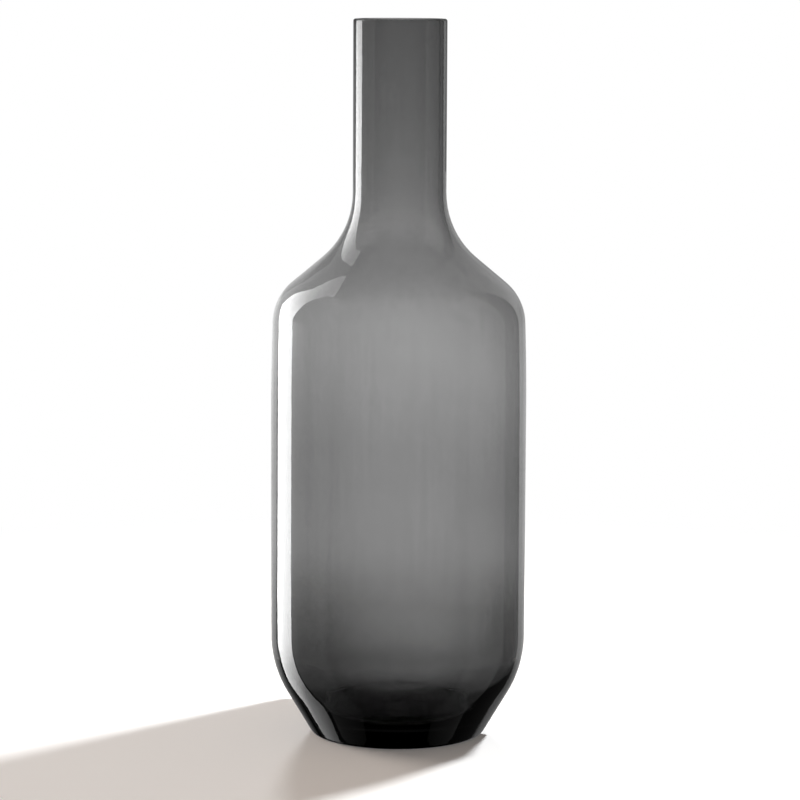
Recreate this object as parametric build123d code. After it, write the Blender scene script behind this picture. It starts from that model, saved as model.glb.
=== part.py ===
from build123d import *

import os
from math import atan2, cos, hypot, pi, tan

# Bottle vase: one vessel of smoke-grey glass, blown in a single piece.
# It is a body of revolution about Z. The origin is the middle of the resting ring, on the
# surface that the vase stands on, and +Z runs up through the neck. Sizes are millimetres.

# Heights of the four stretches of the outside, from the table up
cone_height = 48.5
body_height = 258.5
shoulder_height = 46.0
neck_length = 147.0

# Outside diameters, where the straight stretches of the outline would meet
foot_diameter = 120.0
body_diameter = 178.0
neck_diameter = 64.8

# The top stretch of the body draws in a little towards the shoulder
drawn_in_height = 55.0
drawn_in_depth = 1.6

# Radii of the outside, from the foot to the lip
heel_radius = 5.0
lower_bend_radius = 77.0
drawn_in_radius = 1600.0
shoulder_radius = 37.0
throat_radius = 59.0
lip_radius = 1.7

# Thickness of the glass, from the lip to the floor
neck_wall = 3.8
shoulder_wall = 2.6
body_wall = 2.6
thinned_wall = 2.9
lower_bend_wall = 5.5
cone_wall = 7.9
floor_thickness = 24.8

# Inside: the stretch above the lower bend where the wall thins out, and the inner bend's rounding
thinning_height = 70.0
thinned_radius = 1200.0
inner_bend_radius = 47.0

# Inner floor: pushed up in the middle, with a rounded gutter between it and the bowl of the wall
raised_flat_diameter = 57.4
raised_radius = 36.0
gutter_diameter = 102.2
gutter_drop = 18.0
gutter_radius = 9.7
bowl_drop = 5.3
bowl_radius = 80.0

# Underside: a ground hollow inside the flat ring that the vase rests on
hollow_depth = 4.0
hollow_flat_diameter = 48.0
resting_ring_width = 12.0
hollow_radius = 30.0

# A rounding takes at most this share of the shorter straight run beside its corner
run_share = 0.45


def turn_at(before, corner, after):
    """Angle, in radians, by which an outline turns at a corner."""
    arriving = atan2(corner[1] - before[1], corner[0] - before[0])
    leaving = atan2(after[1] - corner[1], after[0] - corner[0])
    return abs((leaving - arriving + pi) % (2 * pi) - pi)


def fitted_radius(before, corner, after, wanted):
    """The wanted rounding of a corner, or the largest one that its straight runs have room for."""
    half_turn = tan(turn_at(before, corner, after) / 2)
    shorter_run = min(hypot(corner[0] - before[0], corner[1] - before[1]),
                      hypot(after[0] - corner[0], after[1] - corner[1]))
    return min(wanted, run_share * shorter_run / half_turn)


def inner_corner(before, corner, after, wall, way):
    """The inside of an outer corner, set in by the wall and moved up (way 1) or down (way -1) to the mitre."""
    shift = wall * tan(turn_at(before, corner, after) / 2)
    return (corner[0] - wall, corner[1] + way * shift)


# Corners of the outside
lower_bend_z = cone_height
drawn_in_z = cone_height + body_height - drawn_in_height
shoulder_z = cone_height + body_height
throat_z = shoulder_z + shoulder_height
lip_z = throat_z + neck_length

foot = (foot_diameter / 2, 0)
lower_bend = (body_diameter / 2, lower_bend_z)
drawn_in = (body_diameter / 2, drawn_in_z)
shoulder = (body_diameter / 2 - drawn_in_depth, shoulder_z)
throat = (neck_diameter / 2, throat_z)
lip = (neck_diameter / 2, lip_z)

# Corners of the inside
mouth = (neck_diameter / 2 - neck_wall, lip_z)
inner_throat = inner_corner(shoulder, throat, lip, neck_wall, -1)
inner_shoulder = inner_corner(drawn_in, shoulder, throat, shoulder_wall, -1)
inner_drawn_in = (drawn_in[0] - body_wall, drawn_in_z)
inner_thinned = (lower_bend[0] - thinned_wall, lower_bend_z + thinning_height)
inner_lower_bend = inner_corner(foot, lower_bend, drawn_in, lower_bend_wall, 1)

# Corners of the inner floor, where the bowl lies one cone wall in from the outer face
floor_z = hollow_depth + floor_thickness
bowl_z = floor_z - bowl_drop
cone_lean = atan2(lower_bend[0] - foot[0], cone_height)
bowl = (foot[0] + bowl_z * tan(cone_lean) - cone_wall / cos(cone_lean), bowl_z)
gutter = (gutter_diameter / 2, floor_z - gutter_drop)
raised_edge = (raised_flat_diameter / 2, floor_z)
floor_middle = (0, floor_z)

# Corners of the underside
hollow_middle = (0, hollow_depth)
hollow_edge = (hollow_flat_diameter / 2, hollow_depth)
ring_edge = (foot[0] - resting_ring_width, 0)

# Half section, once round from the middle of the hollow, each corner with its rounding
outline = [
    (hollow_middle, 0),
    (hollow_edge, hollow_radius),
    (ring_edge, hollow_radius),
    (foot, heel_radius),
    (lower_bend, lower_bend_radius),
    (drawn_in, drawn_in_radius),
    (shoulder, shoulder_radius),
    (throat, throat_radius),
    (lip, lip_radius),
    (mouth, lip_radius),
    (inner_throat, throat_radius + neck_wall),
    (inner_shoulder, shoulder_radius - shoulder_wall),
    (inner_drawn_in, drawn_in_radius - body_wall),
    (inner_thinned, thinned_radius),
    (inner_lower_bend, inner_bend_radius),
    (bowl, bowl_radius),
    (gutter, gutter_radius),
    (raised_edge, raised_radius),
    (floor_middle, 0),
]
corners = [corner for corner, _ in outline]
radii = [
    fitted_radius(corners[i - 1], corners[i], corners[(i + 1) % len(corners)], wanted)
    for i, (_, wanted) in enumerate(outline)
]


def glass_vessel():
    """The whole vase: the half section turned once round the axis."""
    with BuildPart() as vessel:
        with BuildSketch(Plane.XZ):
            with BuildLine():
                FilletPolyline(*corners, radius=radii, close=True)
            make_face()
        revolve(axis=Axis.Z)
    return vessel.part


vessel = glass_vessel()
os.makedirs("parts", exist_ok=True)
export_step(vessel, "parts/glass_vessel.step")

size = vessel.bounding_box().size
print(f"glass_vessel: {size.X:.1f} x {size.Y:.1f} x {size.Z:.1f} mm, {vessel.volume / 1000:.0f} cm3 of glass")

# The neck's straight bore lies between the lip's rounding and the round of the inner throat
bore_top = lip_z - radii[corners.index(mouth)]
throat_round = radii[corners.index(inner_throat)] * tan(turn_at(mouth, inner_throat, inner_shoulder) / 2)
bore_bottom = inner_throat[1] + throat_round
print(f"bore of the neck: radius {mouth[0]:.2f} mm, straight from z {bore_bottom:.2f} to {bore_top:.2f} mm")
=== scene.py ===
from math import atan2, cos, pi, radians, sin, tan

import bpy
from mathutils import Matrix, Vector


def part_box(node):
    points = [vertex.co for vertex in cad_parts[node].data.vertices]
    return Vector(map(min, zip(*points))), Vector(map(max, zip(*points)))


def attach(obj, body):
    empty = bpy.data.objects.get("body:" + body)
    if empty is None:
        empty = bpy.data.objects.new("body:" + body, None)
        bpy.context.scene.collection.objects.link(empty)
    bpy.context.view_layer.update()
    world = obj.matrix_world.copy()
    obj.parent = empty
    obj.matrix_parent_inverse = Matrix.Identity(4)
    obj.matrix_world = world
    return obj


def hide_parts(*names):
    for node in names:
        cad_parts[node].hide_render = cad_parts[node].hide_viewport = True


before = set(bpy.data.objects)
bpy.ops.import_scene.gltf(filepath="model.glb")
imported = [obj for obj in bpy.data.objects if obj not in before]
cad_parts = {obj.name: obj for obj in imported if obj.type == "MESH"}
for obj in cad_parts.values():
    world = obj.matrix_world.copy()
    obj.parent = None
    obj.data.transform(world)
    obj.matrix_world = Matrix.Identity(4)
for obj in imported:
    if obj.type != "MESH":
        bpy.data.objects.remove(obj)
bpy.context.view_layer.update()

# Bottle vase of smoke-grey glass, blown in one piece. Sizes are metres, heights are above the table.
VESSEL = "glass_vessel"
vessel_low, vessel_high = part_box(VESSEL)
HEIGHT = vessel_high[2] - vessel_low[2]
BODY_RADIUS = (vessel_high[0] - vessel_low[0]) / 2

# Outside of the glass, where the straight stretches of its outline would meet
FOOT_RADIUS = 0.060
LOWER_BEND_Z = 0.0485
DRAWN_IN_Z = 0.252
DRAWN_IN_DEPTH = 0.0016
SHOULDER_Z = 0.307
THROAT_Z = 0.353
NECK_RADIUS = 0.0324

# Thickness of the glass, from the neck down to the lower bend
NECK_WALL = 0.0038
SHOULDER_WALL = 0.0026
BODY_WALL = 0.0026
THINNED_WALL = 0.0029
THINNED_Z = 0.1185
LOWER_BEND_WALL = 0.0055

# Inner floor: the bowl of the wall, the gutter, and the dome pushed up in the middle
BOWL_RADIUS = 0.06484
BOWL_Z = 0.0235
GUTTER_RADIUS = 0.0511
GUTTER_Z = 0.0108
DOME_RADIUS = 0.0287
DOME_Z = 0.0288

# Underside: the ground hollow inside the resting ring
HOLLOW_DEPTH = 0.004
HOLLOW_RADIUS = 0.024
RING_RADIUS = 0.048

# Rounding of each corner: the underside, the outside from the heel up, then the inside from the body down
HOLLOW_ROUNDING = 0.030
HEEL_ROUNDING = 0.005
LOWER_BEND_ROUNDING = 0.077
DRAWN_IN_ROUNDING = 1.6
SHOULDER_ROUNDING = 0.037
THROAT_ROUNDING = 0.059
LIP_ROUNDING = 0.0017
INNER_DRAWN_IN_ROUNDING = 1.3
THINNED_ROUNDING = 1.2
INNER_BEND_ROUNDING = 0.047
BOWL_ROUNDING = 0.080
GUTTER_ROUNDING = 0.0097
DOME_ROUNDING = 0.036

# How the skin is divided and turned
SIDES = 192
ROUNDING_STEPS = 10
LONGEST_STEP = 0.006
TURNING_RING = 0.01
MERGE_DISTANCE = 1e-6

# How far the inner face wanders from a true round, in long upright waves
INNER_WAVE_DEPTH = 0.0003
INNER_WAVE_SEED = 7.0
INNER_WAVE_SCALE = 34.0
INNER_WAVE_DETAIL = 2.0
INNER_WAVE_STRETCH = (1.0, 1.0, 0.12)

# Glass: what its thickness takes out of the light, how it bends it, and the tint of its faces by height
SMOKE_COLOUR = (0.2, 0.2, 0.2, 1.0)
SMOKE_DENSITY = 250.0
GLASS_IOR = 1.52
TINT_BY_HEIGHT = [
    (0.000, 0.84),
    (0.014, 0.84),
    (0.028, 0.95),
    (0.040, 0.99),
    (0.052, 0.95),
    (0.064, 0.97),
    (0.090, 0.912),
    (0.115, 0.92),
    (0.150, 0.914),
    (0.190, 0.878),
    (0.210, 0.885),
    (0.235, 0.94),
    (0.280, 0.985),
    (0.305, 0.96),
    (0.355, 1.00),
    (0.385, 0.895),
    (0.430, 0.775),
    (0.4980, 0.65),
    (0.4992, 0.46),
]

# Traces of the blowing: drawn-out streaks, soft clouds, a faint film and slow waves on the faces
DRAWN_OUT = (1.0, 1.0, 0.04)
STREAK_SCALE = 260.0
STREAK_DETAIL = 3.0
STREAK_DEPTH = 0.02
CLOUD_SCALE = 24.0
CLOUD_DETAIL = 2.0
CLOUD_DEPTH = 0.012
FILM_SCALE = 14.0
FILM_DETAIL = 4.0
FILM_ROUGHNESS = 0.012
FACE_WAVE_SCALE = 45.0
FACE_WAVE_DETAIL = 1.0
FACE_WAVE_HEIGHT = 0.00003

# Most of a soft noise lies between these two values
NOISE_LOW = 0.3
NOISE_HIGH = 0.7

# Camera: where it stands, how far it looks down and leans, and its lens
CAMERA_PLACE = Vector((0.00092, -2.2686, 0.5347))
LOOK_DOWN = radians(7.515)
LEAN = radians(0.266)
LENS_MM = 147.5
SENSOR_MM = 36.0

# Stage: plain white, and the kinds of ray that can meet a piece of it
WHITE = (1.0, 1.0, 1.0, 1.0)
RAYS = ("camera", "diffuse", "glossy", "transmission", "volume_scatter", "shadow")

# Strip light, left and behind: its right edge, the way across it, its outline as (share across, height),
# its glow by height and its brightness by sideways place
STRIP_RIGHT = Vector((-0.322, 0.256, 0.0))
STRIP_ACROSS = Vector((-0.218, -0.121, 0.0))
STRIP_OUTLINE = [
    (-0.15, -0.56), (-0.07, -0.13), (0.03, -0.06), (-0.04, 0.03), (0.01, 0.19), (-0.035, 0.24),
    (-0.06, 0.30), (-0.17, 0.36), (-0.13, 0.40), (-0.12, 0.48), (-0.05, 0.55), (-0.04, 0.63),
    (0.0, 0.70), (0.12, 0.81), (0.25, 0.955), (0.74, 1.035), (1.30, 1.09), (0.94, 0.90),
    (0.88, 0.60), (0.93, 0.48), (0.90, 0.40), (0.84, 0.36), (0.93, 0.30), (0.955, 0.19),
    (0.92, 0.03), (0.97, -0.06), (0.76, -0.56)]
STRIP_GLOW = [
    (-0.56, 0.05), (-0.30, 0.13), (-0.12, 0.44), (0.0, 0.85), (0.33, 0.95), (0.40, 0.88),
    (0.444, 0.78), (0.485, 0.66), (0.56, 0.50), (0.63, 0.375), (0.71, 0.27), (0.78, 0.21),
    (0.85, 0.165), (0.96, 0.15), (1.09, 0.18)]
STRIP_BRIGHTNESS = [(-0.54, 10.2), (-0.43, 8.7), (-0.32, 7.6)]

# Light that the strip spills on the wall beside it: by height, by sideways place, and how far behind
SPILL_GLOW = [
    (-0.12, 0.0), (-0.02, 0.55), (0.06, 0.75), (0.12, 0.85), (0.20, 1.05), (0.25, 1.7),
    (0.31, 1.8), (0.37, 0.6), (0.46, 0.3), (0.60, 0.35), (1.05, 0.35)]
SPILL_ACROSS = [(-0.96, 0.0), (-0.845, 0.13), (-0.72, 0.32), (-0.63, 0.52), (-0.57, 0.82), (-0.52, 1.1)]
SPILL_BEHIND = 0.01

# White panel behind the vase, in two halves: its place, its lean, and its glow by height and across
PANEL_Y = 0.56
PANEL_LEAN = 0.182
PANEL_LEFT_EDGE = -0.50
PANEL_RIGHT_EDGE = 0.535
PANEL_LEFT_GLOW = [
    (-0.62, 0.0), (-0.45, 0.0), (-0.35, 0.07), (-0.25, 0.16), (-0.15, 0.37), (-0.05, 0.70),
    (0.05, 0.88), (0.10, 0.90), (0.15, 1.0), (0.20, 1.18), (0.32, 1.25), (0.376, 1.15),
    (0.42, 1.13), (0.47, 1.06), (0.56, 0.88), (0.65, 0.70), (0.75, 0.56), (0.85, 0.46), (1.2, 0.2)]
PANEL_RIGHT_GLOW = [
    (-0.62, 0.06), (-0.50, 0.15), (-0.43, 0.28), (-0.35, 0.24), (-0.25, 0.24), (-0.15, 0.36),
    (-0.05, 0.58), (0.05, 0.62), (0.15, 0.66), (0.22, 0.61), (0.32, 0.52), (0.36, 0.64),
    (0.42, 0.72), (0.50, 0.64), (0.60, 0.52), (0.75, 0.38), (0.90, 0.25), (1.2, 0.12)]
PANEL_ACROSS = [
    (-0.26, 1.0), (-0.20, 0.92), (-0.16, 0.72), (-0.12, 0.55), (0.12, 0.48), (0.16, 0.64),
    (0.20, 0.90), (0.26, 1.0)]

# Dim flags close behind the neck: from where to where sideways, and their glow by height
NECK_FLAG_Y = 0.10
NECK_FLAG_LEFT = (-0.125, -0.040)
NECK_FLAG_LEFT_GLOW = [
    (0.315, 0.8), (0.36, 0.8), (0.38, 0.46), (0.40, 0.42), (0.44, 0.33), (0.48, 0.20), (0.54, 0.14)]
NECK_FLAG_RIGHT = (0.045, 0.098)
NECK_FLAG_RIGHT_GLOW = [(0.388, 0.25), (0.54, 0.20)]

# Grey sheet over the way to the strip light: its height, its reach from the axis and the sector it covers
ROOF_Z = 0.316
ROOF_REACH = (0.10, 0.62)
ROOF_SECTOR = (radians(112), radians(202))
ROOF_STEPS = 12
ROOF_GLOW = 0.25

# Unlit room: glow by share of the way from its front to its back, and how that fades by height
ROOM_RADIUS = 1.6
ROOM_SIDES = 64
ROOM_GLOW = [
    (0.0, 0.01), (0.27, 0.01), (0.31, 0.30), (0.66, 0.30), (0.67, 0.04), (0.92, 0.04),
    (0.95, 0.0), (1.0, 0.0)]
ROOM_FADE = [(-3.6, 0.1), (-2.3, 0.25), (-1.6, 0.5), (-0.4, 1.0), (2.4, 1.0)]

# Backdrop seen through the glass: a sheet behind the vase, and a ring just above the table round the foot,
# both with painted light and shade
BACKDROP_Y = 0.15
BACKDROP_HALF_WIDTH = 0.25
BACKDROP_TOP = 0.9
BACKDROP_RING = (0.0605, 0.20)
BACKDROP_RING_SIDES = 96
BACKDROP_LIFT = 0.0004

# Its share of white by sideways place: low down, behind the body and behind the neck, with painted shade
# darker beside the vase low down and painted light and shade behind the neck; then by height where the low
# one fades out and the high one comes in
BACKDROP_LOW = [
    (-0.09, 0.22), (-0.074, 0.29), (-0.06, 0.41), (-0.044, 0.60), (-0.026, 0.80), (0.0, 0.95),
    (0.026, 1.08), (0.044, 1.0), (0.062, 0.76), (0.074, 0.60), (0.09, 0.36)]
BACKDROP_MIDDLE = [
    (-0.09, 0.80), (-0.07, 0.83), (-0.044, 0.90), (-0.026, 0.96), (0.0, 1.0), (0.044, 1.0),
    (0.062, 0.94), (0.09, 0.85)]
BACKDROP_HIGH = [
    (-0.09, 1.05), (-0.05, 1.05), (-0.03, 1.02), (-0.015, 1.0), (0.03, 1.0), (0.06, 0.80),
    (0.09, 0.60)]
BACKDROP_FADE = [(0.0, 1.0), (0.012, 0.95), (0.03, 0.8), (0.06, 0.4), (0.10, 0.0)]
BACKDROP_RISE = [(0.21, 0.0), (0.27, 0.4), (0.39, 0.5), (0.47, 1.0)]

# Its right side by height, painted light and shade that lighten and darken it in bands, and how that comes
# in sideways
BACKDROP_RIGHT = [
    (0.06, 1.08), (0.10, 1.06), (0.14, 0.93), (0.19, 1.10), (0.24, 1.15), (0.28, 1.0),
    (0.31, 0.91), (0.345, 0.93), (0.38, 1.0)]
BACKDROP_RIGHTWARD = [(0.025, 0.0), (0.08, 1.0)]

# Its ends turn white: far out at the sides, in front of the vase, and by how much more low down, painted
# light as bright as the lamp-lit floor
BACKDROP_EDGE = [(0.14, 0.0), (0.20, 1.0)]
BACKDROP_FRONT = [(-0.16, 1.0), (-0.06, 0.0)]
BACKDROP_END_RISE = 0.4

# Light on the floor: a lamp behind at the right, one straight behind, a wide one at the left,
# and soft light all round
KEY_RISE = radians(35)
KEY_FROM = Vector((0.72 * cos(KEY_RISE), 0.69 * cos(KEY_RISE), sin(KEY_RISE)))
KEY_STRENGTH = 4.9
KEY_ANGLE = radians(8)
KEY_COLOUR = (0.97, 0.99, 1.0)
BACK_RISE = radians(19)
BACK_FROM = Vector((-0.07, cos(BACK_RISE), sin(BACK_RISE)))
BACK_STRENGTH = 2.05
BACK_ANGLE = radians(8)
FILL_FROM = Vector((-0.8, 0.5, 0.33))
FILL_STRENGTH = 2.0
FILL_ANGLE = radians(30)
FILL_COLOUR = (1.0, 0.87, 0.78)
SOFT_COLOUR = (1.0, 0.84, 0.72, 1.0)
SOFT_STRENGTH = 0.24

# Floor: its colour, its lift towards white, from where to where it turns white, and how far it goes
FLOOR_COLOUR = (0.9, 0.9, 0.9, 1.0)
FLOOR_LIFT = 0.08
FLOOR_TURNS_WHITE = (0.4, 0.9)
FLOOR_REACH = 6.0

# Card that widens the shadow: how far towards the lamp, and corners as (sideways, height)
SHADOW_CARD_AHEAD = 0.04
SHADOW_CARD = [
    (-0.055, 0.0), (0.054, 0.003), (0.063, 0.012), (0.090, 0.041), (0.108, 0.101), (0.116, 0.16),
    (0.116, 0.45), (-0.130, 0.45), (-0.130, 0.024), (-0.118, 0.014), (-0.085, 0.005)]


def add_node(tree, kind, links=None, **settings):
    """A node of that kind, with its settings, whose inputs are linked or set from links."""
    node = tree.nodes.new(kind)
    for name, value in settings.items():
        setattr(node, name, value)
    for socket, value in (links or {}).items():
        if isinstance(value, bpy.types.NodeSocket):
            tree.links.new(value, node.inputs[socket])
        else:
            node.inputs[socket].default_value = value
    return node


def node_result(tree, kind, links=None, **settings):
    """The first output of a new node of that kind."""
    return add_node(tree, kind, links, **settings).outputs[0]


def maths(tree, operation, *values):
    """A sum on plain numbers."""
    return node_result(tree, "ShaderNodeMath", dict(enumerate(values)), operation=operation)


def vector_maths(tree, operation, links, result="Vector"):
    """A sum on places, colours or directions."""
    return add_node(tree, "ShaderNodeVectorMath", links, operation=operation).outputs[result]


def between(tree, share, first, second):
    """A number that goes from the first to the second as the share goes from 0 to 1."""
    return node_result(tree, "ShaderNodeMix", {0: share, "A": first, "B": second})


def emptied_tree(holder):
    """The node tree of a new material or world, with no nodes in it yet."""
    holder.use_nodes = True
    holder.node_tree.nodes.clear()
    return holder.node_tree


def own_place(tree):
    """Where a point lies on its own piece."""
    return add_node(tree, "ShaderNodeTexCoord").outputs["Object"]


def split_place(tree):
    """The same place as separate X, Y and Z."""
    return add_node(tree, "ShaderNodeSeparateXYZ", {0: own_place(tree)}).outputs


def fill_ramp(ramp, stops):
    """Give a colour ramp these greys, as (place, share of white)."""
    ramp.interpolation = "LINEAR"
    while len(ramp.elements) > 1:
        ramp.elements.remove(ramp.elements[-1])
    (first, first_white), *others = stops
    ramp.elements[0].position = first
    ramp.elements[0].color = (first_white, first_white, first_white, 1.0)
    for place, white in others:
        ramp.elements.new(place).color = (white, white, white, 1.0)


def ends(stops):
    """The first and the last place in a list of stops."""
    return stops[0][0], stops[-1][0]


def grey_along(tree, value, stops):
    """A grey that follows these stops, as (value, share of white)."""
    low, high = ends(stops)
    share = node_result(tree, "ShaderNodeMapRange", {"Value": value, "From Min": low, "From Max": high})
    ramp = add_node(tree, "ShaderNodeValToRGB", {"Fac": share})
    fill_ramp(ramp.color_ramp, [((place - low) / (high - low), white) for place, white in stops])
    return ramp.outputs["Color"]


def number_along(tree, value, stops):
    """A plain number that follows these stops, as (value, number)."""
    return node_result(tree, "ShaderNodeRGBToBW", {0: grey_along(tree, value, stops)})


def mitre(before, corner, after, wall, way):
    """The inside of an outer corner, set in by the wall and moved up (way 1) or down (way -1)."""
    arriving = atan2(corner[1] - before[1], corner[0] - before[0])
    leaving = atan2(after[1] - corner[1], after[0] - corner[0])
    turn = abs((leaving - arriving + pi) % (2 * pi) - pi)
    return (corner[0] - wall, corner[1] + way * wall * tan(turn / 2))


def half_section():
    """Corners of the glass in half section: (radius, height), rounding, and 1 where the face is inside."""
    foot = (FOOT_RADIUS, 0.0)
    lower_bend = (BODY_RADIUS, LOWER_BEND_Z)
    drawn_in = (BODY_RADIUS, DRAWN_IN_Z)
    shoulder = (BODY_RADIUS - DRAWN_IN_DEPTH, SHOULDER_Z)
    throat = (NECK_RADIUS, THROAT_Z)
    lip = (NECK_RADIUS, HEIGHT)
    inner_throat = mitre(shoulder, throat, lip, NECK_WALL, -1)
    inner_shoulder = mitre(drawn_in, shoulder, throat, SHOULDER_WALL, -1)
    inner_bend = mitre(foot, lower_bend, drawn_in, LOWER_BEND_WALL, 1)
    return [
        ((0.0, HOLLOW_DEPTH), 0.0, 0),
        ((HOLLOW_RADIUS, HOLLOW_DEPTH), HOLLOW_ROUNDING, 0),
        ((RING_RADIUS, 0.0), HOLLOW_ROUNDING, 0),
        (foot, HEEL_ROUNDING, 0),
        (lower_bend, LOWER_BEND_ROUNDING, 0),
        (drawn_in, DRAWN_IN_ROUNDING, 0),
        (shoulder, SHOULDER_ROUNDING, 0),
        (throat, THROAT_ROUNDING, 0),
        (lip, LIP_ROUNDING, 0),
        ((NECK_RADIUS - NECK_WALL, HEIGHT), LIP_ROUNDING, 1),
        (inner_throat, THROAT_ROUNDING + NECK_WALL, 1),
        (inner_shoulder, SHOULDER_ROUNDING - SHOULDER_WALL, 1),
        ((BODY_RADIUS - BODY_WALL, DRAWN_IN_Z), INNER_DRAWN_IN_ROUNDING, 1),
        ((BODY_RADIUS - THINNED_WALL, THINNED_Z), THINNED_ROUNDING, 1),
        (inner_bend, INNER_BEND_ROUNDING, 1),
        ((BOWL_RADIUS, BOWL_Z), BOWL_ROUNDING, 1),
        ((GUTTER_RADIUS, GUTTER_Z), GUTTER_ROUNDING, 1),
        ((DOME_RADIUS, DOME_Z), DOME_ROUNDING, 1),
        ((0.0, DOME_Z), 0.0, 1),
    ]


def turned_glass_tree():
    """Geometry nodes that round a half section's corners, divide its runs and turn it about Z."""
    tree = bpy.data.node_groups.new("turned_glass", "GeometryNodeTree")
    sockets = tree.interface
    sockets.new_socket("Half Section", in_out="INPUT", socket_type="NodeSocketGeometry")
    for name, kind in (("Sides", "Int"), ("Rounding Steps", "Int"), ("Longest Step", "Float"),
                       ("Wave Depth", "Float"), ("Wave Seed", "Float"), ("Glass", "Material")):
        sockets.new_socket(name, in_out="INPUT", socket_type=f"NodeSocket{kind}")
    sockets.new_socket("Turned Glass", in_out="OUTPUT", socket_type="NodeSocketGeometry")
    sizes = add_node(tree, "NodeGroupInput").outputs

    # The corners' chain as a curve, laid flat, with each corner rounded by its own radius
    flat = node_result(tree, "GeometryNodeTransform", {
        "Geometry": sizes["Half Section"], "Rotation": (radians(90), 0.0, 0.0)})
    chain = node_result(tree, "GeometryNodeMeshToCurve", {"Mesh": flat})
    rounding = add_node(tree, "GeometryNodeInputNamedAttribute", {"Name": "rounding"}, data_type="FLOAT")
    rounded = node_result(tree, "GeometryNodeFilletCurve", {
        "Curve": chain, "Count": sizes["Rounding Steps"], "Radius": rounding.outputs["Attribute"],
        "Limit Radius": True}, mode="POLY")

    # Runs longer than the longest step are cut
    place = node_result(tree, "GeometryNodeInputPosition")
    following = add_node(tree, "GeometryNodeOffsetPointInCurve", {"Offset": 1}).outputs["Point Index"]
    next_place = node_result(tree, "GeometryNodeFieldAtIndex", {
        "Index": following, "Value": place}, data_type="FLOAT_VECTOR", domain="POINT")
    run = vector_maths(tree, "DISTANCE", {0: place, 1: next_place}, "Value")
    cuts = maths(tree, "DIVIDE", run, sizes["Longest Step"])
    divided = node_result(tree, "GeometryNodeSubdivideCurve", {"Curve": rounded, "Cuts": cuts})

    # One turn about Z: the section is swept round a small ring, set in by the ring's own radius
    ring = node_result(tree, "GeometryNodeCurvePrimitiveCircle", {
        "Resolution": sizes["Sides"], "Radius": TURNING_RING}, mode="RADIUS")
    set_in = node_result(tree, "GeometryNodeTransform", {
        "Geometry": divided, "Translation": (-TURNING_RING, 0.0, 0.0)})
    skin = node_result(tree, "GeometryNodeCurveToMesh", {"Curve": ring, "Profile Curve": set_in})
    outside_out = node_result(tree, "GeometryNodeFlipFaces", {"Mesh": skin})
    closed = node_result(tree, "GeometryNodeMergeByDistance", {
        "Geometry": outside_out, "Distance": MERGE_DISTANCE})

    # Blown glass: the inner face wanders a little, in long upright waves
    stretched = vector_maths(tree, "MULTIPLY", {0: place, 1: INNER_WAVE_STRETCH})
    waves = node_result(tree, "ShaderNodeTexNoise", {
        "Vector": stretched, "W": sizes["Wave Seed"], "Scale": INNER_WAVE_SCALE,
        "Detail": INNER_WAVE_DETAIL}, noise_dimensions="4D")
    around_zero = maths(tree, "SUBTRACT", waves, 0.5)
    inside = add_node(tree, "GeometryNodeInputNamedAttribute", {"Name": "inside"}, data_type="FLOAT")
    depth = maths(tree, "MULTIPLY", inside.outputs["Attribute"], sizes["Wave Depth"])
    amount = maths(tree, "MULTIPLY", around_zero, depth)
    level = vector_maths(tree, "MULTIPLY", {0: place, 1: (1.0, 1.0, 0.0)})
    outwards = vector_maths(tree, "NORMALIZE", {0: level})
    offset = vector_maths(tree, "SCALE", {0: outwards, "Scale": amount})
    waved = node_result(tree, "GeometryNodeSetPosition", {"Geometry": closed, "Offset": offset})

    smooth = node_result(tree, "GeometryNodeSetShadeSmooth", {"Geometry": waved})
    realized = node_result(tree, "GeometryNodeRealizeInstances", {"Geometry": smooth})
    finished = node_result(tree, "GeometryNodeSetMaterial", {
        "Geometry": realized, "Material": sizes["Glass"]})
    add_node(tree, "NodeGroupOutput", {"Turned Glass": finished})
    return tree


def blown_vessel(glass):
    """The vase's own piece: the half section turned once round the axis, as a plain mesh."""
    section = half_section()
    outline = bpy.data.meshes.new("half_section")
    outline.from_pydata([(r, 0.0, z) for (r, z), _, _ in section],
                        [(i, i + 1) for i in range(len(section) - 1)], [])
    rounding = outline.attributes.new("rounding", "FLOAT", "POINT")
    inside = outline.attributes.new("inside", "FLOAT", "POINT")
    for i, (_, radius, is_inside) in enumerate(section):
        rounding.data[i].value = radius
        inside.data[i].value = is_inside
    blank = bpy.data.objects.new("half_section", outline)
    bpy.context.collection.objects.link(blank)

    tree = turned_glass_tree()
    values = {"Sides": SIDES, "Rounding Steps": ROUNDING_STEPS, "Longest Step": LONGEST_STEP,
              "Wave Depth": INNER_WAVE_DEPTH, "Wave Seed": INNER_WAVE_SEED, "Glass": glass}
    turning = blank.modifiers.new("turning", "NODES")
    turning.node_group = tree
    for socket in tree.interface.items_tree:
        if socket.in_out == "INPUT" and socket.name in values:
            turning[socket.identifier] = values[socket.name]

    depsgraph = bpy.context.evaluated_depsgraph_get()
    mesh = bpy.data.meshes.new_from_object(blank.evaluated_get(depsgraph), depsgraph=depsgraph)
    bpy.data.objects.remove(blank)
    mesh.name = "blown_vessel"
    vessel = bpy.data.objects.new("blown_vessel", mesh)
    bpy.context.collection.objects.link(vessel)
    return vessel


def cloudy(tree, place, scale, detail, low, high):
    """A soft noise between two values."""
    noise = node_result(tree, "ShaderNodeTexNoise", {"Vector": place, "Scale": scale, "Detail": detail})
    return node_result(tree, "ShaderNodeMapRange", {
        "Value": noise, "From Min": NOISE_LOW, "From Max": NOISE_HIGH, "To Min": low, "To Max": high})


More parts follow.
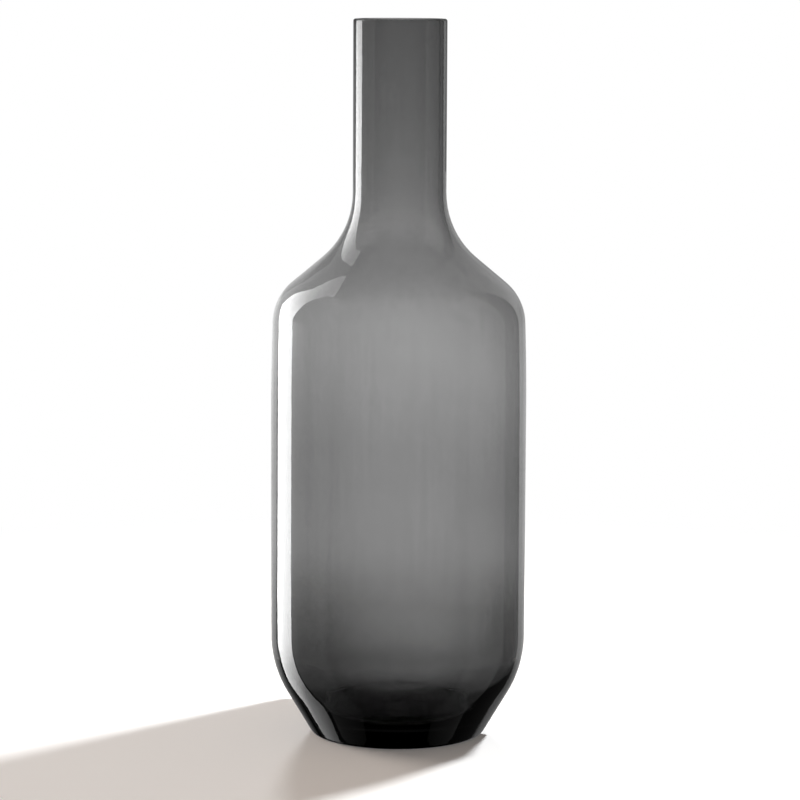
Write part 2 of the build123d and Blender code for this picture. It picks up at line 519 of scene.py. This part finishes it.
def smoke_glass():
    """Smoke-grey glass, coloured through, with drawn streaks, soft clouds, a faint film and slow waves."""
    glass = bpy.data.materials.new("smoke_glass")
    tree = emptied_tree(glass)
    place = own_place(tree)
    height = add_node(tree, "ShaderNodeSeparateXYZ", {0: place}).outputs["Z"]
    tint = add_node(tree, "ShaderNodeValToRGB", {"Fac": maths(tree, "DIVIDE", height, HEIGHT)})
    fill_ramp(tint.color_ramp, [(z / HEIGHT, white) for z, white in TINT_BY_HEIGHT])

    # The gather was drawn upwards, so streaks and waves are long and upright
    drawn = vector_maths(tree, "MULTIPLY", {0: place, 1: DRAWN_OUT})
    streaks = cloudy(tree, drawn, STREAK_SCALE, STREAK_DETAIL, 1.0 - STREAK_DEPTH, 1.0 + STREAK_DEPTH)
    clouds = cloudy(tree, place, CLOUD_SCALE, CLOUD_DETAIL, 1.0 - CLOUD_DEPTH, 1.0 + CLOUD_DEPTH)
    uneven = maths(tree, "MULTIPLY", streaks, clouds)
    colour = vector_maths(tree, "SCALE", {0: tint.outputs["Color"], "Scale": uneven})
    film = cloudy(tree, place, FILM_SCALE, FILM_DETAIL, 0.0, FILM_ROUGHNESS)
    waves = cloudy(tree, drawn, FACE_WAVE_SCALE, FACE_WAVE_DETAIL, 0.0, 1.0)
    bump = node_result(tree, "ShaderNodeBump", {
        "Strength": 1.0, "Distance": FACE_WAVE_HEIGHT, "Height": waves})

    shader = add_node(tree, "ShaderNodeBsdfPrincipled", {
        "Base Color": colour, "Metallic": 0.0, "Roughness": film, "IOR": GLASS_IOR,
        "Transmission Weight": 1.0, "Normal": bump})
    smoke = add_node(tree, "ShaderNodeVolumeAbsorption", {
        "Color": SMOKE_COLOUR, "Density": SMOKE_DENSITY})
    add_node(tree, "ShaderNodeOutputMaterial", {
        "Surface": shader.outputs["BSDF"], "Volume": smoke.outputs["Volume"]})
    return glass


def place_camera():
    """The camera at the photograph's viewing angle."""
    data = bpy.data.cameras.new("camera")
    data.lens = LENS_MM
    data.sensor_width = SENSOR_MM
    camera = bpy.data.objects.new("camera", data)
    bpy.context.collection.objects.link(camera)
    camera.matrix_world = (Matrix.Translation(CAMERA_PLACE) @ Matrix.Rotation(pi / 2 - LOOK_DOWN, 4, "X")
                           @ Matrix.Rotation(LEAN, 4, "Z"))
    bpy.context.scene.camera = camera


def stage_mesh(name, points, material, faces=None):
    """A piece of the stage, not of the vase: one face round its points, or the faces given."""
    mesh = bpy.data.meshes.new(name)
    mesh.from_pydata(points, [], faces or [tuple(range(len(points)))])
    mesh.materials.append(material)
    piece = bpy.data.objects.new(name, mesh)
    bpy.context.collection.objects.link(piece)
    return piece


def met_only_by(ray_kind, piece):
    """Let only one kind of ray meet a piece of the stage."""
    for ray in RAYS:
        setattr(piece, f"visible_{ray}", ray == ray_kind)


def mirrored_card(name, points, material, faces=None):
    """A studio card that shows only as a reflection in the glass."""
    met_only_by("glossy", stage_mesh(name, points, material, faces))


def seen_through(name, points, material, faces=None):
    """A part of the backdrop that shows only through the glass."""
    met_only_by("transmission", stage_mesh(name, points, material, faces))


def four_corners(left, right, low, high):
    """Corners of a sheet, once round it, as (sideways, upwards)."""
    return [(left, low), (right, low), (right, high), (left, high)]


def ring(radius, height, sides):
    """Points once round the axis."""
    turns = [2 * pi * i / sides for i in range(sides)]
    return [(radius * cos(turn), radius * sin(turn), height) for turn in turns]


def faces_between_rings(sides):
    """Faces from one ring of points to the next one."""
    return [(i, (i + 1) % sides, sides + (i + 1) % sides, sides + i) for i in range(sides)]


def shine(tree, strength, colour=WHITE):
    """Light of a surface's own."""
    return node_result(tree, "ShaderNodeEmission", {"Color": colour, "Strength": strength})


def clear_from_below(tree, shader):
    """A sheet that shows its shader from above and is clear from below."""
    clear = node_result(tree, "ShaderNodeBsdfTransparent")
    from_below = add_node(tree, "ShaderNodeNewGeometry").outputs["Backfacing"]
    return node_result(tree, "ShaderNodeMixShader", {0: from_below, 1: shader, 2: clear})


def seen_in(tree, strength):
    """The strength where a ray comes from the camera, a reflection or through glass, and 0 for light."""
    path = add_node(tree, "ShaderNodeLightPath").outputs
    by_glass = maths(tree, "MAXIMUM", path["Is Transmission Ray"], path["Is Glossy Ray"])
    seen = maths(tree, "MAXIMUM", path["Is Camera Ray"], by_glass)
    return maths(tree, "MULTIPLY", seen, strength)


def glow_by_height(name, stops, across=None, thin=False):
    """A shining card whose light changes with height, and across it: stops are (place, share of white).

    A thin card lets what lies behind it show as well.
    """
    material = bpy.data.materials.new(name)
    tree = emptied_tree(material)
    place = split_place(tree)
    power = number_along(tree, place["X"], across) if across else 1.0
    glow = shine(tree, power, grey_along(tree, place["Z"], stops))
    if thin:
        clear = node_result(tree, "ShaderNodeBsdfTransparent")
        glow = node_result(tree, "ShaderNodeAddShader", {0: glow, 1: clear})
    add_node(tree, "ShaderNodeOutputMaterial", {"Surface": glow})
    return material


def black(name):
    """A card that shines at no height."""
    return glow_by_height(name, [(0.0, 0.0), (1.0, 0.0)])


def along_strip(corners, behind=0.0):
    """Places in the strip light's plane, or behind it, for corners given as (share across, height)."""
    return [STRIP_RIGHT + STRIP_ACROSS * share + Vector((0.0, behind, height))
            for share, height in corners]


def strip_light():
    """The tall strip light, left and behind, brightest from the table to the shoulder."""
    glow = glow_by_height("strip_glow", STRIP_GLOW, STRIP_BRIGHTNESS)
    mirrored_card("strip_light", along_strip(STRIP_OUTLINE), glow)

    # Its light spills over the wall beside it
    spill = glow_by_height("spill_glow", SPILL_GLOW, SPILL_ACROSS, thin=True)
    far, near = [(x - STRIP_RIGHT.x) / STRIP_ACROSS.x for x in ends(SPILL_ACROSS)]
    corners = four_corners(near, far, *ends(SPILL_GLOW))
    mirrored_card("strip_spill", along_strip(corners, SPILL_BEHIND), spill)


def white_panel():
    """The white panel behind the vase, leaning over it: brighter on its left half, dimmer in the middle."""
    for side, edge, stops in (("left", PANEL_LEFT_EDGE, PANEL_LEFT_GLOW),
                              ("right", PANEL_RIGHT_EDGE, PANEL_RIGHT_GLOW)):
        glow = glow_by_height(f"panel_{side}_glow", stops, PANEL_ACROSS)
        corners = four_corners(0.0, edge, *ends(stops))
        points = [(x, PANEL_Y - PANEL_LEAN * z, z) for x, z in corners]
        mirrored_card(f"white_panel_{side}", points, glow)


def neck_flags():
    """Dim flags close behind the neck, which keep the panel out of the neck's edges."""
    for side, (left, right), stops in (("left", NECK_FLAG_LEFT, NECK_FLAG_LEFT_GLOW),
                                       ("right", NECK_FLAG_RIGHT, NECK_FLAG_RIGHT_GLOW)):
        glow = glow_by_height(f"neck_flag_{side}_glow", stops)
        corners = four_corners(left, right, *ends(stops))
        mirrored_card(f"neck_flag_{side}", [(x, NECK_FLAG_Y, z) for x, z in corners], glow)


def strip_roof():
    """A grey sheet over the way to the strip light, which keeps it off the shoulder seen from above."""
    grey = bpy.data.materials.new("strip_roof")
    tree = emptied_tree(grey)
    sheet = clear_from_below(tree, shine(tree, ROOF_GLOW))
    add_node(tree, "ShaderNodeOutputMaterial", {"Surface": sheet})
    first, last = ROOF_SECTOR
    turns = [first + (last - first) * i / ROOF_STEPS for i in range(ROOF_STEPS + 1)]
    points = [(reach * cos(turn), reach * sin(turn), ROOF_Z) for reach in ROOF_REACH for turn in turns]
    outer = len(turns)
    faces = [(i, outer + i, outer + i + 1, i + 1) for i in range(ROOF_STEPS)]
    mirrored_card("strip_roof", points, grey, faces)


def dark_room():
    """The unlit studio round the vase: black flags behind, a dim wall at each side, black in front."""
    room = bpy.data.materials.new("dark_room")
    tree = emptied_tree(room)
    place = split_place(tree)
    depth = node_result(tree, "ShaderNodeMapRange", {
        "Value": place["Y"], "From Min": -ROOM_RADIUS, "From Max": ROOM_RADIUS})
    walls = grey_along(tree, depth, ROOM_GLOW)
    fade = number_along(tree, place["Z"], ROOM_FADE)
    add_node(tree, "ShaderNodeOutputMaterial", {"Surface": shine(tree, fade, walls)})

    low, high = ends(ROOM_FADE)
    points = ring(ROOM_RADIUS, low, ROOM_SIDES) + ring(ROOM_RADIUS, high, ROOM_SIDES)
    mirrored_card("dark_room", points, room, faces_between_rings(ROOM_SIDES))
    ceiling = tuple(range(ROOM_SIDES, 2 * ROOM_SIDES))
    ground = tuple(range(ROOM_SIDES))
    mirrored_card("ceiling", points, black("black_ceiling"), [ceiling, ground])


def backdrop_glow():
    """The backdrop's light: white with painted shade, dimmer low down and beside the vase, painted light
    and shade at its right and behind the neck, white again at its ends.
    """
    glow = bpy.data.materials.new("painted_shading_backdrop")
    tree = emptied_tree(glow)
    place = split_place(tree)
    middle_across = number_along(tree, place["X"], BACKDROP_MIDDLE)
    low_across = number_along(tree, place["X"], BACKDROP_LOW)
    high_across = number_along(tree, place["X"], BACKDROP_HIGH)
    low = number_along(tree, place["Z"], BACKDROP_FADE)
    high = number_along(tree, place["Z"], BACKDROP_RISE)
    # Painted shade: darker beside the vase low down; painted light and shade behind the neck, brighter at
    # the left and darker at the right
    shade = between(tree, high, between(tree, low, middle_across, low_across), high_across)

    # Painted light and shade on the right side, in bands by height
    rightward = number_along(tree, place["X"], BACKDROP_RIGHTWARD)
    right = number_along(tree, place["Z"], BACKDROP_RIGHT)
    dimmed = maths(tree, "MULTIPLY", shade, between(tree, rightward, 1.0, right))

    edge = number_along(tree, maths(tree, "ABSOLUTE", place["X"]), BACKDROP_EDGE)
    front = number_along(tree, place["Y"], BACKDROP_FRONT)
    end = maths(tree, "MAXIMUM", edge, front)
    # Painted light low down at the ends, as bright as the lamp-lit floor
    end_white = maths(tree, "MULTIPLY_ADD", low, BACKDROP_END_RISE, 1.0)
    power = between(tree, end, dimmed, end_white)
    add_node(tree, "ShaderNodeOutputMaterial", {"Surface": shine(tree, power)})
    return glow


def painted_shading_backdrop():
    """The backdrop as the glass shows it, with painted light and shade: a sheet behind the vase, and the
    same painted shading round the foot.
    """
    glow = backdrop_glow()
    corners = four_corners(-BACKDROP_HALF_WIDTH, BACKDROP_HALF_WIDTH, 0.0, BACKDROP_TOP)
    # Painted light and shade, seen only through the glass: a sheet behind the vase and a ring round the
    # foot
    seen_through("painted_shading_backdrop", [(x, BACKDROP_Y, z) for x, z in corners], glow)
    inner, outer = [ring(reach, BACKDROP_LIFT, BACKDROP_RING_SIDES) for reach in BACKDROP_RING]
    seen_through("painted_shading_round_foot", inner + outer, glow, faces_between_rings(BACKDROP_RING_SIDES))


def floor():
    """A plain pale floor, lifted towards white where it is seen, white far out and clear from below."""
    pale = bpy.data.materials.new("pale_floor")
    tree = emptied_tree(pale)
    matt = node_result(tree, "ShaderNodeBsdfDiffuse", {"Color": FLOOR_COLOUR})
    lift = shine(tree, seen_in(tree, FLOOR_LIFT))
    lifted = node_result(tree, "ShaderNodeAddShader", {0: matt, 1: lift})
    near, far = FLOOR_TURNS_WHITE
    reach = vector_maths(tree, "LENGTH", {0: own_place(tree)}, "Value")
    fade = node_result(tree, "ShaderNodeMapRange", {
        "Value": reach, "From Min": near, "From Max": far}, interpolation_type="SMOOTHSTEP")
    whitened = node_result(tree, "ShaderNodeMixShader", {0: fade, 1: lifted, 2: shine(tree, 1.0)})
    add_node(tree, "ShaderNodeOutputMaterial", {"Surface": clear_from_below(tree, whitened)})
    corners = four_corners(-FLOOR_REACH, FLOOR_REACH, -FLOOR_REACH, FLOOR_REACH)
    ground = stage_mesh("floor", [(x, y, 0.0) for x, y in corners], pale)
    ground.visible_glossy = False


def far_lamp(name, comes_from, strength, angle, colour):
    """A far lamp that lights the floor and doesn't show in the glass."""
    data = bpy.data.lights.new(name, "SUN")
    data.energy = strength
    data.angle = angle
    data.color = colour
    lamp = bpy.data.objects.new(name, data)
    bpy.context.collection.objects.link(lamp)
    lamp.rotation_euler = (-comes_from).to_track_quat("-Z", "Y").to_euler()
    lamp.visible_glossy = False
    lamp.visible_transmission = False


def shadow_card():
    """An upright card on the lamp's side that only shadows meet, so that the vase's shadow is wider."""
    ahead = Vector((KEY_FROM.x, KEY_FROM.y, 0.0)).normalized()
    sideways = ahead.cross(Vector((0.0, 0.0, 1.0)))
    points = [ahead * SHADOW_CARD_AHEAD + sideways * side + Vector((0.0, 0.0, height))
              for side, height in SHADOW_CARD]
    met_only_by("shadow", stage_mesh("shadow_card", points, black("shadow_card")))


def surroundings():
    """A white background behind the vase and soft light from all round."""
    world = bpy.data.worlds.new("surroundings")
    tree = emptied_tree(world)
    soft = node_result(tree, "ShaderNodeBackground", {"Color": SOFT_COLOUR, "Strength": SOFT_STRENGTH})
    white = node_result(tree, "ShaderNodeBackground", {"Color": WHITE, "Strength": 1.0})
    around = node_result(tree, "ShaderNodeMixShader", {0: seen_in(tree, 1.0), 1: soft, 2: white})
    add_node(tree, "ShaderNodeOutputWorld", {"Surface": around})
    world.cycles.sampling_method = "NONE"
    bpy.context.scene.world = world


bpy.context.scene.view_settings.view_transform = "Standard"
vessel = blown_vessel(smoke_glass())
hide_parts(VESSEL)
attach(vessel, "root")
place_camera()
floor()
strip_light()
white_panel()
neck_flags()
strip_roof()
dark_room()
painted_shading_backdrop()
far_lamp("key_lamp", KEY_FROM, KEY_STRENGTH, KEY_ANGLE, KEY_COLOUR)
far_lamp("back_lamp", BACK_FROM, BACK_STRENGTH, BACK_ANGLE, KEY_COLOUR)
far_lamp("fill_lamp", FILL_FROM, FILL_STRENGTH, FILL_ANGLE, FILL_COLOUR)
shadow_card()
surroundings()
